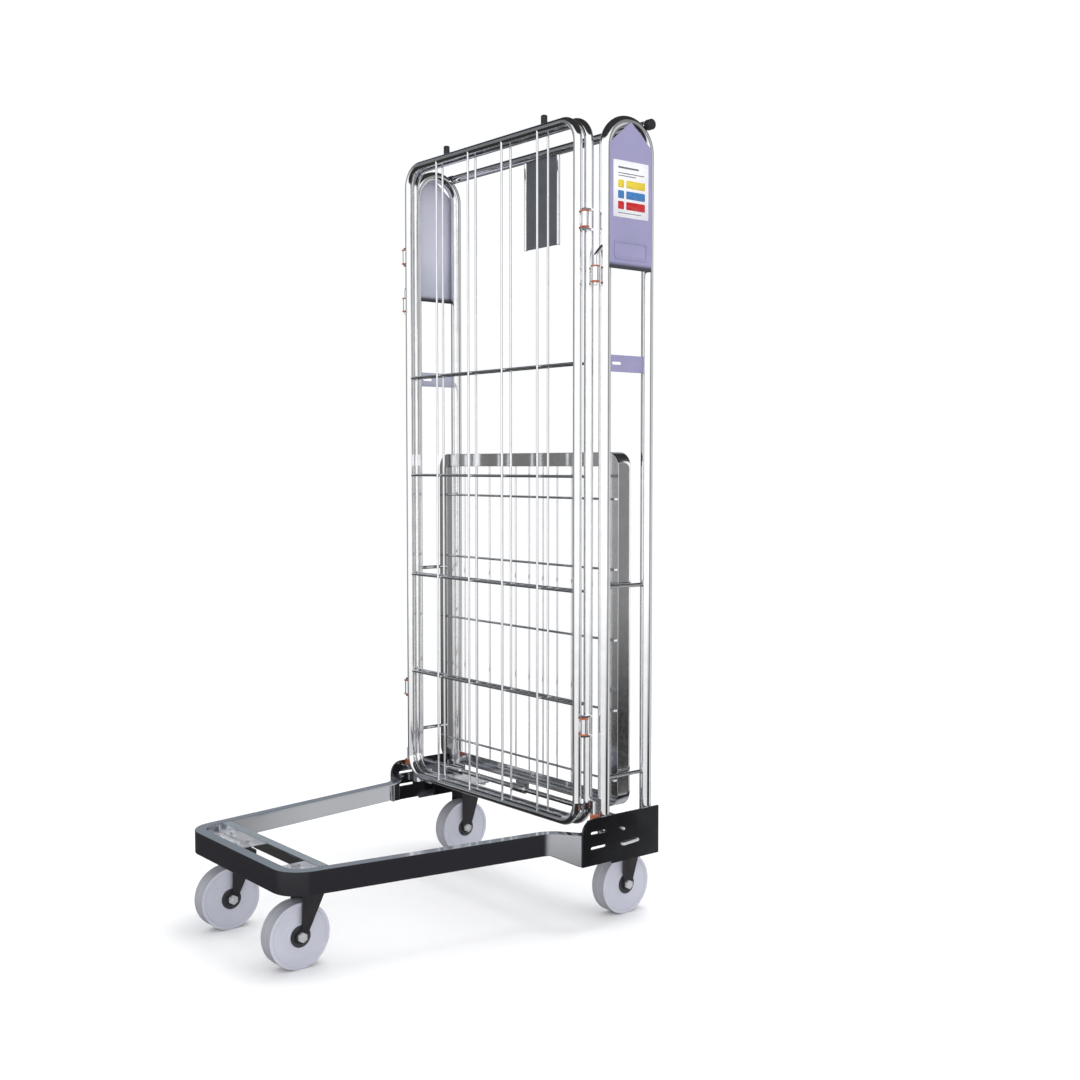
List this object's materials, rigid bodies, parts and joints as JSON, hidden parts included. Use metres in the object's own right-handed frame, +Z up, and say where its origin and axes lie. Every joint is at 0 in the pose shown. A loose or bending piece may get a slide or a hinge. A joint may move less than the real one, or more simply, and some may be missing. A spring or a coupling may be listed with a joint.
{
  "type": "roll cage container",
  "caption": "Nesting roll cage container: tapered base on four swivel castors, two mesh gates in front of two tube side frames, a fold-down mesh deck and a top bar.",
  "frame": {"origin": "middle of the footprint on the floor under the wheels", "axes": "+Z up; -Y towards the narrow nose of the base, +Y towards the side frames; +X to the side whose pins carry the inner gate"},
  "size_m": [0.738, 0.839, 1.706],
  "materials": {
    "zinc_tube": "bright zinc plate",
    "base_steel": "dark reflective plate",
    "plate_steel": "smooth dark plate",
    "grey_sheet": "satin grey",
    "dark_sheet": "satin dark grey",
    "label_film": "printed film",
    "bush_orange": "moulded nylon",
    "cap_black": "moulded",
    "wheel_nylon": "moulded nylon",
    "hub_black": "moulded",
    "fork_black": "black powder coat",
    "castor_zinc": "zinc plate",
    "bolt_zinc": "bright zinc plate"
  },
  "bodies": {
    "root": {"base_frame": "base_steel", "nose_crossbar": "base_steel", "castor_mounts": "base_steel", "side_rungs": "zinc_tube", "info_stickers": "label_film", "latch_plates": "grey_sheet", "top_bar": "zinc_tube", "top_bar_caps": "cap_black", "placard": "dark_sheet", "placard_hems": "zinc_tube", "gate_hinge_pins": "zinc_tube", "pivot_tabs": "zinc_tube", "pivot_bushes": "bush_orange", "deck_hinge_rod": "zinc_tube", "castor_heads": "castor_zinc", "castor_ball_rings": "castor_zinc", "castor_bolts": "bolt_zinc", "side_plate_left": "plate_steel", "side_plate_right": "plate_steel", "side_frame_left": "zinc_tube", "side_frame_right": "zinc_tube", "label_plate_left": "grey_sheet", "label_plate_right": "grey_sheet", "tie_rods_left": "bolt_zinc", "tie_rods_right": "bolt_zinc"},
    "gate_inner": {"inner_gate_frame": "zinc_tube", "inner_gate_wires": "zinc_tube", "inner_gate_bars": "zinc_tube", "inner_gate_hinges": "zinc_tube", "inner_gate_washers": "bush_orange", "inner_gate_pivots": "zinc_tube", "leaf_hinge_pins": "zinc_tube", "gate_pegs": "zinc_tube", "gate_peg_caps": "cap_black"},
    "gate_outer": {"outer_gate_frame": "zinc_tube", "outer_gate_wires": "zinc_tube", "outer_gate_bars": "zinc_tube", "outer_gate_hinges": "zinc_tube", "outer_gate_washers": "bush_orange"},
    "deck": {"deck_frame": "zinc_tube", "deck_long_wires": "zinc_tube", "deck_cross_wires": "zinc_tube", "deck_knuckles": "zinc_tube"},
    "castor_nose_left": {"castor_fork_nose_left": "fork_black", "axle_bolt_nose_left": "bolt_zinc"},
    "caster_wheel_nose_left": {"wheel_nose_left": "wheel_nylon", "wheel_bearing_nose_left": "hub_black"},
    "castor_nose_right": {"castor_fork_nose_right": "fork_black", "axle_bolt_nose_right": "bolt_zinc"},
    "caster_wheel_nose_right": {"wheel_nose_right": "wheel_nylon", "wheel_bearing_nose_right": "hub_black"},
    "castor_rear_left": {"castor_fork_rear_left": "fork_black", "axle_bolt_rear_left": "bolt_zinc"},
    "caster_wheel_rear_left": {"wheel_rear_left": "wheel_nylon", "wheel_bearing_rear_left": "hub_black"},
    "castor_rear_right": {"castor_fork_rear_right": "fork_black", "axle_bolt_rear_right": "bolt_zinc"},
    "caster_wheel_rear_right": {"wheel_rear_right": "wheel_nylon", "wheel_bearing_rear_right": "hub_black"}
  },
  "joints": [
    {"name": "gate_inner_swing", "type": "hinge", "parent": "root", "child": "gate_inner", "pos_m": [0.3475, 0.233, 1.355], "axis": [0, 0, 1], "range_deg": [0, 100]},
    {"name": "gate_outer_swing", "type": "hinge", "parent": "gate_inner", "child": "gate_outer", "pos_m": [-0.329, 0.2205, 0.945], "axis": [0, 0, 1], "range_deg": [-105, 0]},
    {"name": "deck_fold", "type": "hinge", "parent": "root", "child": "deck", "pos_m": [0, 0.308, 0.222], "axis": [1, 0, 0], "range_deg": [0, 4]},
    {"name": "swivel_nose_left", "type": "hinge", "parent": "root", "child": "castor_nose_left", "pos_m": [-0.146, -0.3245, 0.167], "axis": [0, 0, 1], "continuous": true},
    {"name": "roll_nose_left", "type": "hinge", "parent": "castor_nose_left", "child": "caster_wheel_nose_left", "pos_m": [-0.146, -0.3545, 0.065], "axis": [1, 0, 0], "continuous": true},
    {"name": "swivel_nose_right", "type": "hinge", "parent": "root", "child": "castor_nose_right", "pos_m": [0.146, -0.3245, 0.167], "axis": [0, 0, 1], "continuous": true},
    {"name": "roll_nose_right", "type": "hinge", "parent": "castor_nose_right", "child": "caster_wheel_nose_right", "pos_m": [0.146, -0.3545, 0.065], "axis": [1, 0, 0], "continuous": true},
    {"name": "swivel_rear_left", "type": "hinge", "parent": "root", "child": "castor_rear_left", "pos_m": [-0.295, 0.37, 0.167], "axis": [0, 0, 1], "continuous": true},
    {"name": "roll_rear_left", "type": "hinge", "parent": "castor_rear_left", "child": "caster_wheel_rear_left", "pos_m": [-0.295, 0.3545, 0.065], "axis": [1, 0, 0], "continuous": true},
    {"name": "swivel_rear_right", "type": "hinge", "parent": "root", "child": "castor_rear_right", "pos_m": [0.295, 0.37, 0.167], "axis": [0, 0, 1], "continuous": true},
    {"name": "roll_rear_right", "type": "hinge", "parent": "castor_rear_right", "child": "caster_wheel_rear_right", "pos_m": [0.295, 0.3545, 0.065], "axis": [1, 0, 0], "continuous": true}
  ]
}
